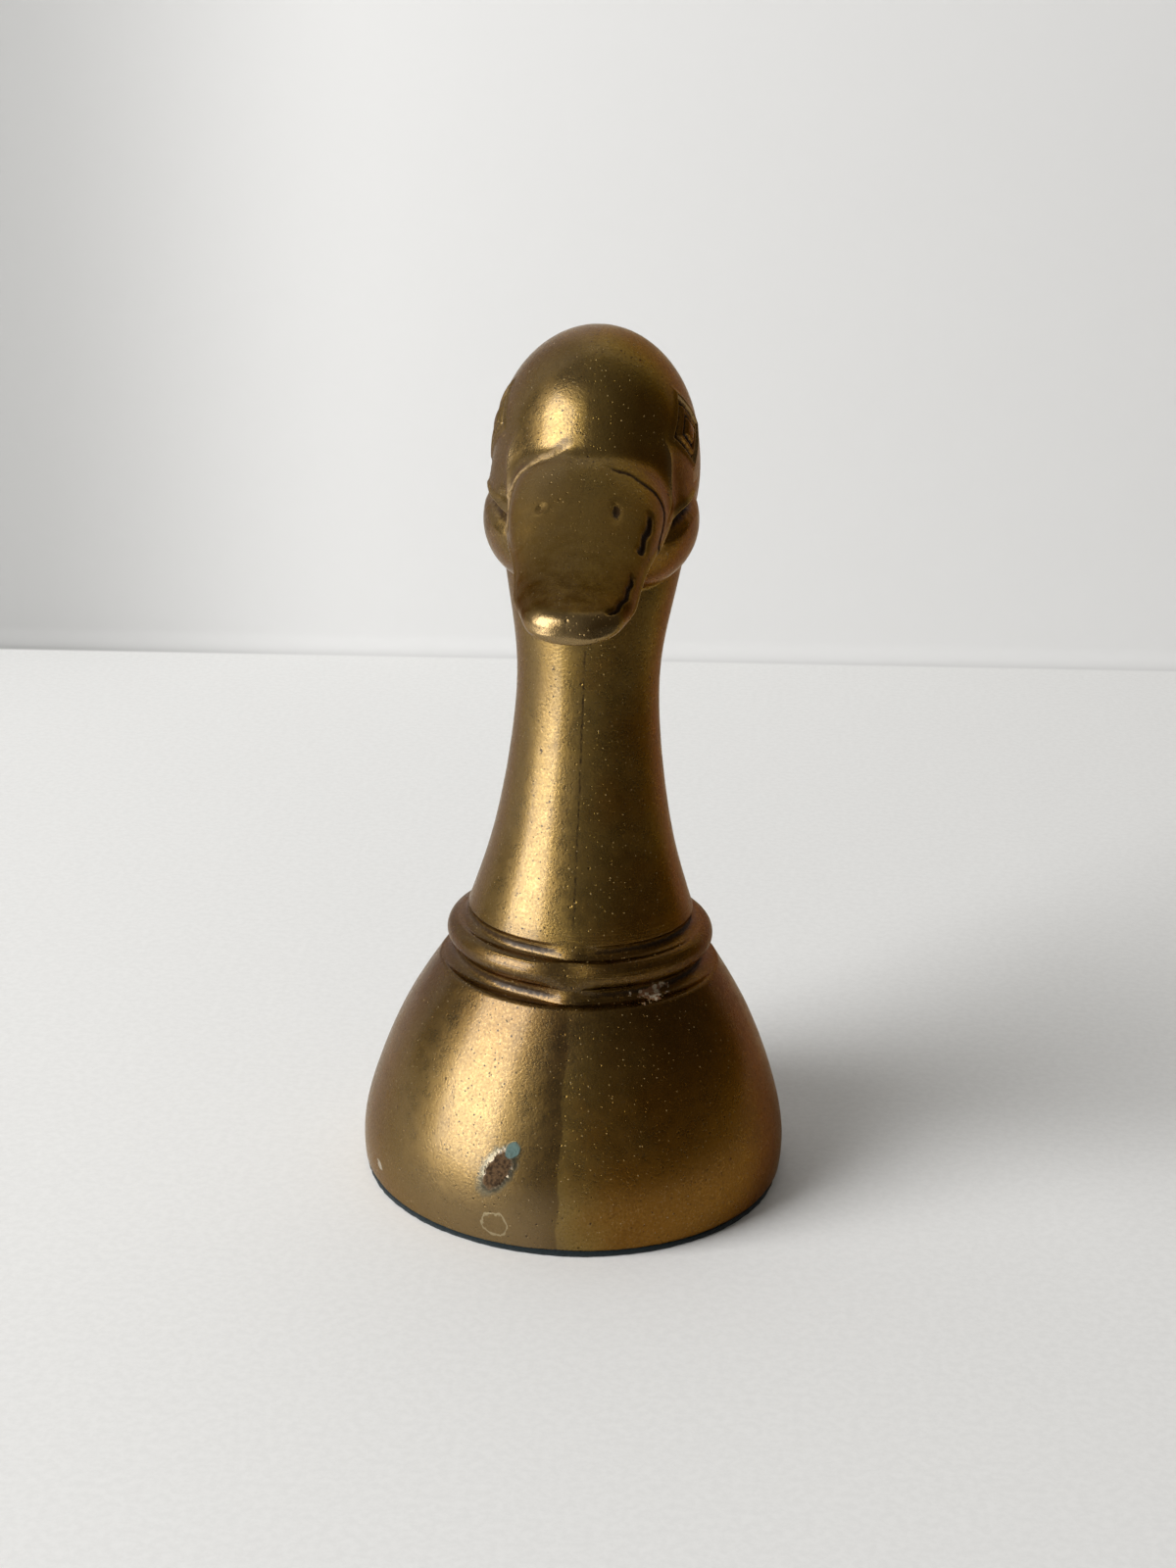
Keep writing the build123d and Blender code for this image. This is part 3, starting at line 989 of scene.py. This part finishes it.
# Colours of the brazing metal, the board and the felt
BRAZE_PALE = (0.55, 0.42, 0.20)
BRAZE_DARK = (0.30, 0.19, 0.08)
BRAZE_SOOT = (0.06, 0.04, 0.03)
BOARD_DARK = (0.10, 0.052, 0.024)
BOARD_PALE = (0.21, 0.12, 0.06)
FELT_DARK = (0.003, 0.007, 0.009)
FELT_PALE = (0.010, 0.022, 0.026)
FELT_TANGLE = (0.010, 0.018, 0.020)
FELT_LINT = (0.20, 0.20, 0.19)

# Felt disc: its rings by share of the radius, its soft edge, and the waves of its cut and of its fuzz
FELT_POINTS = 220
FELT_RINGS = (0.25, 0.5, 0.7, 0.85, 0.95)
FELT_LIFT = 0.03
FELT_SOFT = 0.35
FELT_LIP_IN = 0.105
FELT_LIP_RISE = 0.15
FELT_CUT = ((0.08, 3, 0.4), (0.05, 7, 1.1), (0.035, 17, 0.0))
FELT_FUZZ = ((0.05, 61, 0.0), (0.04, 97, 0.7))


def brass_with_painted_side_light(k):
    """Pale, olive and red brass across the duck, partly its patina and partly painted light: paler on the
    window's side as a painted highlight, red on the far side as a painted warm reflection.
    """
    across = k.plus(k.x, k.uneven(30.0, 0.06, 3.0))
    colour = k.mix(k.span(across, -9.0, 4.0), PALE_BRASS_PAINTED_HIGHLIGHT, OLIVE_BRASS)
    return k.mix(k.span(across, 0.0, 18.0), colour, RED_BRASS_PAINTED_REFLECTION)


def seam_painted_shade(k):
    """Painted shade: a dark band on the front of the bust along the window's side of the seam, wider below.
    """
    across = k.plus(k.x, k.uneven(3.0, 0.12, 3.0))
    start = k.span(k.z, 8.0, 46.0, -11.0, -4.0)
    beside = k.band(across, (start, -1.5), (-0.3, 0.2))
    front_bust = k.times(k.span(k.y, -10.0, -20.0), k.fall(k.z, 40.0, 50.0))
    return k.times(beside, front_bust, 0.7)


def seam_line(k):
    """A broken dark line along the seam over the collar, faint on the head."""
    off_seam = k.math("ABSOLUTE", k.plus(k.x, k.uneven(0.8, 0.5, 3.0)))
    line = k.times(k.fall(off_seam, 0.08, 0.28), k.span(k.z, 56.0, 64.0))
    broken = k.span(k.noise(0.8, 4.0), 0.35, 0.6, 0.1, 0.8)
    return k.times(line, broken, k.span(k.z, 106.0, 120.0, 1.0, 0.22))


def pits(k):
    """Casting pits all over, more of them along the seam and in the crust."""
    by_seam = k.fall(k.math("ABSOLUTE", k.x), 0.4, 2.2)
    seam_pits = k.times(k.dots(*SEAM_PITS), by_seam)
    crust_pits = k.times(k.dots(*CRUST_PITS), k.mask("crust"))
    return k.most(k.dots(*PITS), k.dots(*FINE_PITS), seam_pits, crust_pits)


def bill_tone(k):
    """The dull bill, darker to its tip, with pale grain."""
    tone = k.mix(k.span(k.y, -30.0, -58.0), DULL_BILL, DARK_BILL)
    return k.mix(k.span(k.noise(2.6, 4.0, 0.7), 0.52, 0.7, 0.0, 0.3), tone, RUBBED_AND_PAINTED_HIGHLIGHT)


def add_marks(k, colour):
    """Scab with halo and verdigris, ring stain, paint specks, lime and crust: the colour and their place."""
    scab = k.oval(*SCAB_MARK)
    ring_stain = k.oval(*RING_MARK)
    crusted = k.fall(scab, 0.82, 0.92)
    green = k.fall(k.oval(*VERDIGRIS_MARK), 0.8, 1.05)
    specks = k.fall(k.oval(*SPECK_MARK), 0.5, 0.62)
    lime = k.times(k.mask("lime"), k.span(k.noise(1.2, 4.0), 0.35, 0.6, 0.3, 0.9))
    crust = k.fall(k.oval(*CRUST_MARK), 0.45, 0.6)
    colour = k.layered(colour, (
        (k.span(scab, 1.0, 1.5, 0.75, 0.0), SCAB_HALO),
        (crusted, k.mix(k.span(k.noise(1.5, 4.0), 0.4, 0.62), SCAB_BROWN, SCAB_DARK)),
        (k.times(k.band(scab, (0.80, 0.88), (0.9, 1.0)), 0.6), SCAB_EDGE),
        (k.times(green, 0.85), VERDIGRIS),
        (k.times(k.band(ring_stain, (0.86, 0.97), (1.02, 1.12)), 0.55), RING_STAIN),
        (k.times(specks, 0.8), SPECKS),
        (lime, LIME_AND_PAINTED_HIGHLIGHT),
        (crust, k.mix(k.span(k.noise(0.9, 3.0), 0.45, 0.6), CRUST_PINK, CRUST_CREAM)),
    ))
    return colour, k.most(crusted, green, specks, crust, lime)


def brass_look():
    """Old brass with its lacquer partly gone: tarnished, pitted, dirty in its grooves and rubbed on its
    edges, with painted highlights and painted shade in places.
    """
    k = Look("aged_brass")
    grain = k.noise(2.0, 3.0, 0.6)
    mottle = k.noise(1.6, 6.0, 0.75)
    cloud = k.span(k.noise(0.17, 6.0, 0.62, k.stretched((1, 1, 0.6), (7, 3, 1))), 0.5, 0.75, 0.0, 0.22)
    shoulder = k.times(k.band(k.z, (26.0, 46.0), (52.0, 60.0)), k.span(mottle, 0.35, 0.6, 0.45, 0.8))
    # Painted highlight: the lower bust paler on the window's side, where the lit floor is reflected
    lower_bust_painted_highlight = k.times(k.span(k.z, 16.0, 4.0, 0.0, 0.4), k.fall(k.x, -6.0, 4.0))
    holes = pits(k)
    dust = k.dots(*DUST_SPECKS)
    # Rubbed places, and the painted highlight at the bill's root
    rubbed = k.mask("polish_and_painted_highlight")
    bill = k.times(k.mask("dull"), k.span(k.noise(0.35, 5.0), 0.2, 0.75, 1.0, 0.6))
    # Darkening from the grime mask: dirt in the grooves, and painted shade in the mouth's recess
    dirt = k.span(k.plus(k.mask("grime_and_painted_shade"), k.uneven(0.9, 1.3, 5.0, 0.7)), 0.3, 0.75)
    colour = k.layered(brass_with_painted_side_light(k), (
        (cloud, TARNISH_AND_PAINTED_SHADE),
        (shoulder, TARNISH_AND_PAINTED_SHADE),
        (k.span(grain, 0.5, 0.72, 0.0, 0.5), TARNISH_AND_PAINTED_SHADE),
        (k.span(grain, 0.46, 0.3, 0.0, 0.25), RUBBED_AND_PAINTED_HIGHLIGHT),
        # Painted shade beside the seam, in the tarnish colour
        (seam_painted_shade(k), TARNISH_AND_PAINTED_SHADE),
        (lower_bust_painted_highlight, RUBBED_AND_PAINTED_HIGHLIGHT),
        (k.most(k.times(holes, 0.8), seam_line(k)), GRIME_AND_PAINTED_SHADE),
        (dust, DUST),
        (k.times(rubbed, 0.8), RUBBED_AND_PAINTED_HIGHLIGHT),
        (bill, bill_tone(k)),
        (dirt, GRIME_AND_PAINTED_SHADE),
    ))
    colour, matter = add_marks(k, colour)
    matter = k.most(matter, k.times(dirt, 0.6), dust)
    k.set("Base Color", colour)
    k.set("Metallic", k.math("SUBTRACT", 1.0, matter))

    # Roughness of the metal, and the lacquer left on it
    rough = k.plus(k.span(k.noise(0.3, 5.0), 0.3, 0.7, 0.27, 0.37), k.times(cloud, 0.12), k.times(bill, 0.12))
    rough = k.plus(rough, k.times(k.math("SUBTRACT", grain, 0.5), 0.4))
    rough = k.mix_value(matter, k.mix_value(rubbed, rough, 0.26), 0.85)
    k.set("Roughness", rough)
    bare = k.math("SUBTRACT", 1.0, k.most(bill, matter), clamp=True)
    k.set("Coat Weight", k.times(bare, k.span(k.x, -4.0, 9.0, 0.45, 0.15)))
    k.set("Coat Roughness", 0.2)
    k.set("Specular Tint", (*GRAZING_BRASS, 1))
    k.set("Specular IOR Level", 0.12)

    # Relief in millimetres: grain, the lathe's scratches about the collar, pits and the marks
    scratch = k.noise(1.0, 3.0, 0.6, k.stretched((0.05, 0.05, 5.0)))
    scratch = k.times(scratch, k.band(k.z, (43.0, 46.5), (57.0, 61.5)), 0.12)
    height = k.plus(k.times(grain, 0.06), scratch, k.times(holes, -0.10))
    k.relief(k.plus(height, k.times(matter, mottle, 0.35)), MM)
    return k.material


def braze_look():
    """A rough run of brazing metal."""
    k = Look("brazing_metal")
    flow = k.noise(0.35, 5.0, 0.6)
    tone = k.mix(k.span(flow, 0.35, 0.65), BRAZE_PALE, BRAZE_DARK)
    k.set("Base Color", k.mix(k.dots(0.5, 0.35, 0.5), tone, BRAZE_SOOT))
    k.set("Metallic", 1.0)
    k.set("Roughness", k.span(flow, 0.3, 0.7, 0.4, 0.7))
    k.relief(flow, 0.4 * MM)
    return k.material


def board_look():
    """Brown hardboard with pressed fibres."""
    k = Look("hardboard")
    fibres = k.noise(1.0, 6.0, 0.7, k.stretched((1.6, 0.5, 1.0)))
    k.set("Base Color", k.mix(k.span(fibres, 0.3, 0.7), BOARD_DARK, BOARD_PALE))
    k.set("Roughness", k.span(fibres, 0.3, 0.7, 0.65, 0.85))
    k.relief(fibres, 0.15 * MM)
    return k.material


def felt_look():
    """Dark blue-green wool felt: matted fibres, paler lint."""
    k = Look("dark_felt")
    fibres = k.noise(2.2, 6.0, 0.75, k.stretched((1.0, 1.0, 2.5)))
    tangle = k.noise(0.8, 5.0, 0.65, k.stretched((0.6, 1.5, 1.0), (4, 9, 2)))
    tone = k.mix(k.span(fibres, 0.35, 0.7), FELT_DARK, FELT_PALE)
    tone = k.mix(k.span(tangle, 0.5, 0.75, 0.0, 0.5), tone, FELT_TANGLE)
    tone = k.mix(k.times(k.dots(0.6, 0.14, 0.14), 0.6), tone, FELT_LINT)
    k.set("Base Color", tone)
    k.set("Roughness", 0.95)
    k.set("Specular IOR Level", 0.15)
    k.set("Sheen Weight", 0.1)
    k.set("Sheen Roughness", 0.6)
    k.relief(k.plus(fibres, k.times(tangle, 0.6)), 0.25 * MM)
    return k.material


def wavering(turns, parts):
    """Waves around a circle, each with its size, its number and its shift."""
    return sum(size * np.sin(number * turns + shift) for size, number, shift in parts)


def felt_disc():
    """The felt: a hand-cut disc with soft edges and a matted, slightly uneven underside."""
    turns = np.linspace(0, 2 * math.pi, FELT_POINTS, endpoint=False)
    edge = FELT_RADIUS + FELT_SPREAD + wavering(turns, FELT_CUT)
    fuzzy = edge + wavering(turns, FELT_FUZZ)
    top = FELT_THICKNESS
    rings = []
    for share in FELT_RINGS:
        lift = FELT_LIFT * (1 + np.sin(9 * share + 5 * turns)) * math.sin(math.pi * share)
        rings.append((share * edge, lift))
    rings += [(edge - FELT_SOFT, 0.0), (fuzzy - FELT_LIP_IN, FELT_LIP_RISE), (fuzzy, top / 2)]
    rings += [(fuzzy - FELT_LIP_IN, top - FELT_LIP_RISE), (edge - FELT_SOFT, top)]
    rings += [(share * edge, top) for share in reversed(FELT_RINGS)]
    points = [np.zeros((1, 3))]
    for reach, height in rings:
        height = np.broadcast_to(height, turns.shape)
        points.append(np.stack([reach * np.sin(turns), -reach * np.cos(turns), height], axis=1))
    points.append(np.array([[0, 0, top]]))
    points = np.concatenate(points)

    faces = []
    last = 1 + (len(rings) - 1) * FELT_POINTS
    for low in range(1, last, FELT_POINTS):
        high = low + FELT_POINTS
        for j in range(FELT_POINTS):
            n = (j + 1) % FELT_POINTS
            faces.append((low + j, low + n, high + n, high + j))
    for j in range(FELT_POINTS):
        n = (j + 1) % FELT_POINTS
        faces.append((0, 1 + n, 1 + j))
        faces.append((len(points) - 1, last + j, last + n))
    mesh = bpy.data.meshes.new("felt")
    mesh.from_pydata((points * MM).tolist(), [], faces)
    mesh.polygons.foreach_set("use_smooth", np.ones(len(mesh.polygons), bool))
    return add_object("felt_base", mesh)


brass = brass_look()
for half, node in ((left_half, "left_half_shell"), (right_half, "right_half_shell")):
    half.data.materials.append(brass)
    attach(half, "root")
    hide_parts(node)

felt = felt_disc()
felt.data.materials.append(felt_look())
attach(felt, "root")
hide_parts("felt_pad")

for node, look in (("seam_braze", braze_look()), ("backing_disc", board_look())):
    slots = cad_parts[node].material_slots
    for slot in slots:
        slot.material = look

# Camera at the photograph's place, in millimetres and degrees
CAMERA_PLACE = (29.4, -470.2, 247.3)
CAMERA_TURN = 3.5
CAMERA_PITCH = 19.43
CAMERA_ROLL = 1.9
CAMERA_LENS = 58.5

# Floor and backdrop, in metres, and their tones, by places in millimetres
BACKDROP_BACK = 0.365
BACKDROP_HEIGHT = 1.2
COVE_RADIUS = 0.006
COVE_STEPS = 8
STAGE_HALF_WIDTH = 0.7
STAGE_FRONT = -0.3
WALL_SKEW = 0.11
WALL_FOOT = (356, 359)
# Painted shade on the wall towards its left
WALL_PAINTED_SHADE_REACH = (-230, -90)
WALL_PAINTED_SHADE = (0.40, 0.40, 0.395)
WALL_PALE = (0.69, 0.69, 0.685)
FLOOR_PALE = (0.78, 0.78, 0.77)
FLOOR_PALER = (0.82, 0.82, 0.81)
# Painted shade on the floor far in front to the right
FLOOR_PAINTED_SHADE = (0.15, 0.15, 0.15)
FLOOR_PAINTED_SHADE_REACH = (165, 280)

# Light of the room, dimmer to the duck's left, and the height in metres that the window is aimed at
ROOM_FADE = (-0.05, 0.75)
ROOM_PALE = (0.24, 0.232, 0.22)
ROOM_DIM = (0.09, 0.075, 0.055)
LIGHT_AIM = 0.09


def photo_camera():
    """The camera that the scene is seen by."""
    turn, pitch, roll = (math.radians(a) for a in (CAMERA_TURN, CAMERA_PITCH, CAMERA_ROLL))
    aimed = Matrix.Rotation(turn, 4, "Z") @ Matrix.Rotation(math.pi / 2 - pitch, 4, "X")
    data = bpy.data.cameras.new("camera")
    data.lens = CAMERA_LENS
    data.clip_start = 0.01
    camera = add_object("camera", data)
    rolled = aimed @ Matrix.Rotation(roll, 4, "Z")
    camera.matrix_world = Matrix.Translation(Vector(CAMERA_PLACE) * MM) @ rolled
    bpy.context.scene.camera = camera


def stage_look():
    """Pale floor and wall, with painted shade at the wall's left and on the floor far in front to the right,
    and see-through from behind.
    """
    k = Look("pale_floor")
    floor_tone = k.mix(k.span(k.noise(0.6, 5.0, 0.7), 0.35, 0.65), FLOOR_PALE, FLOOR_PALER)
    wall_tone = k.mix(k.span(k.x, *WALL_PAINTED_SHADE_REACH), WALL_PAINTED_SHADE, WALL_PALE)
    back = k.math("SUBTRACT", k.y, k.times(k.x, WALL_SKEW))
    tone = k.mix(k.span(back, *WALL_FOOT), floor_tone, wall_tone)
    far = k.math("SUBTRACT", k.times(k.x, 0.8), k.times(k.y, 0.6))
    k.set("Base Color", k.mix(k.span(far, *FLOOR_PAINTED_SHADE_REACH), tone, FLOOR_PAINTED_SHADE))
    k.set("Roughness", 0.9)
    k.set("Specular IOR Level", 0.2)
    behind = k.add("ShaderNodeNewGeometry").outputs["Backfacing"]
    clear = k.add("ShaderNodeBsdfTransparent").outputs[0]
    shown = k.add("ShaderNodeMixShader", {0: behind, 1: k.shader.outputs[0], 2: clear}).outputs[0]
    k.put(shown, k.nodes["Material Output"].inputs["Surface"])
    return k.material


def make_stage():
    """Floor and backdrop in one sheet, with a small cove between."""
    outline = [(STAGE_FRONT, 0.0)]
    for step in range(COVE_STEPS + 1):
        angle = math.radians(90 * step / COVE_STEPS)
        back = BACKDROP_BACK + COVE_RADIUS * (math.sin(angle) - 1)
        outline.append((back, COVE_RADIUS * (1 - math.cos(angle))))
    outline.append((BACKDROP_BACK, BACKDROP_HEIGHT))
    points = []
    for row, (y, z) in enumerate(outline):
        for x in (-STAGE_HALF_WIDTH, STAGE_HALF_WIDTH):
            points.append((x, y + WALL_SKEW * x * (row > 0), z))
    faces = [(2 * i, 2 * i + 1, 2 * i + 3, 2 * i + 2) for i in range(len(outline) - 1)]
    mesh = bpy.data.meshes.new("floor")
    mesh.from_pydata(points, [], faces)
    mesh.polygons.foreach_set("use_smooth", np.ones(len(faces), bool))
    mesh.materials.append(stage_look())
    return add_object("floor", mesh)


def room_light():
    """A world that fades from pale to dim across the room."""
    world = bpy.data.worlds.new("studio")
    world.use_nodes = True
    nodes, links = world.node_tree.nodes, world.node_tree.links
    ways = nodes.new("ShaderNodeTexCoord").outputs["Generated"]
    split = nodes.new("ShaderNodeSeparateXYZ")
    fade = nodes.new("ShaderNodeMapRange")
    fade.inputs["From Min"].default_value, fade.inputs["From Max"].default_value = ROOM_FADE
    tone = nodes.new("ShaderNodeMix")
    tone.data_type = "RGBA"
    tone.inputs[6].default_value = (*ROOM_PALE, 1)
    tone.inputs[7].default_value = (*ROOM_DIM, 1)
    links.new(ways, split.inputs[0])
    links.new(split.outputs[0], fade.inputs["Value"])
    links.new(fade.outputs[0], tone.inputs[0])
    links.new(tone.outputs[2], nodes["Background"].inputs["Color"])
    bpy.context.scene.world = world


def window_light(azimuth, elevation, distance, width, height, power):
    """A tall light aimed at the neck. Azimuth 0 is the camera's side, negative to its left."""
    data = bpy.data.lights.new("window", "AREA")
    data.shape = "RECTANGLE"
    data.size = width
    data.size_y = height
    data.energy = power
    light = add_object("window", data)
    light.visible_camera = False
    a, e = math.radians(azimuth), math.radians(elevation)
    away = Vector((math.sin(a) * math.cos(e), -math.cos(a) * math.cos(e), math.sin(e)))
    light.location = Vector((0, 0, LIGHT_AIM)) + away * distance
    light.rotation_mode = "QUATERNION"
    light.rotation_quaternion = (-away).to_track_quat("-Z", "Y")


photo_camera()
floor = make_stage()
room_light()
window_light(azimuth=-58, elevation=18, distance=1.8, width=1.2, height=2.2, power=72)

bpy.context.scene.view_settings.view_transform = "Standard"
